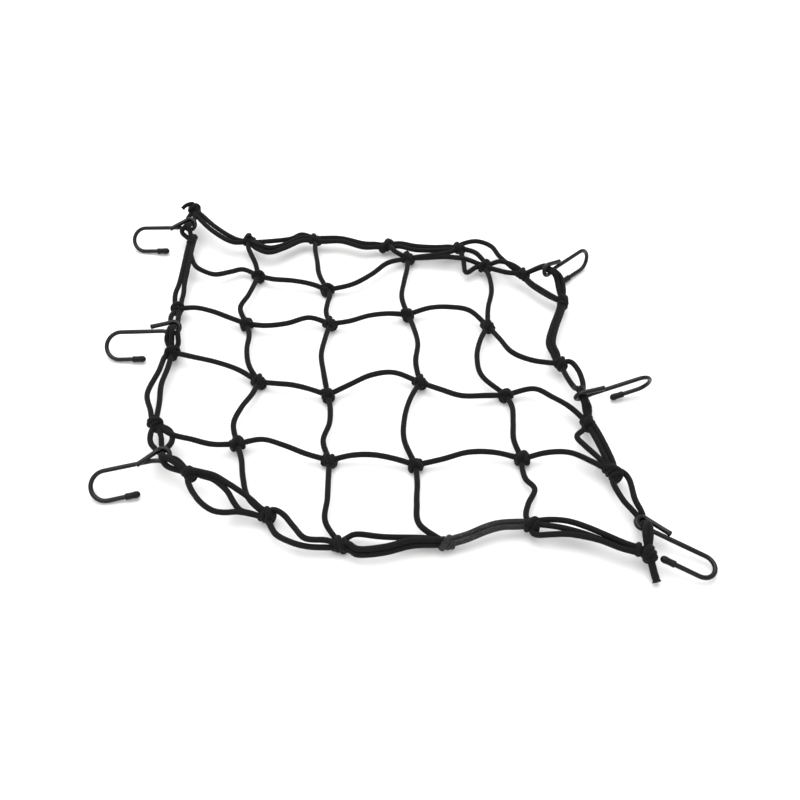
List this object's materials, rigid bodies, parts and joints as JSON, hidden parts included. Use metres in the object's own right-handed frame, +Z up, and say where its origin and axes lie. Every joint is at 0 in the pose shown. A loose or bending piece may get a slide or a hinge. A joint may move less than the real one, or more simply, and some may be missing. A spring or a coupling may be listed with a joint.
{
  "type": "cargo net",
  "caption": "Knotted elastic cord net with a doubled border and bent wire hooks round its edge, lying loose on a flat surface.",
  "frame": {"origin": "middle of the whole outline, on the surface that the net lies on", "axes": "+X to the right of the picture, +Y away from the camera, +Z up out of the net"},
  "size_m": [0.5376, 0.4567, 0.0374],
  "materials": {
    "cord": "matt braided sleeve, near black",
    "wire": "satin black plastic coating on steel wire",
    "cap": "matt black soft cap"
  },
  "bodies": {
    "root": {"net": "cord", "hook_1": "wire", "hook_2": "wire", "hook_3": "wire", "hook_4": "wire", "hook_5": "wire", "hook_6": "wire", "hook_1_cap": "cap", "hook_2_cap": "cap", "hook_3_cap": "cap", "hook_4_cap": "cap", "hook_5_cap": "cap", "hook_6_cap": "cap"}
  },
  "joints": []
}
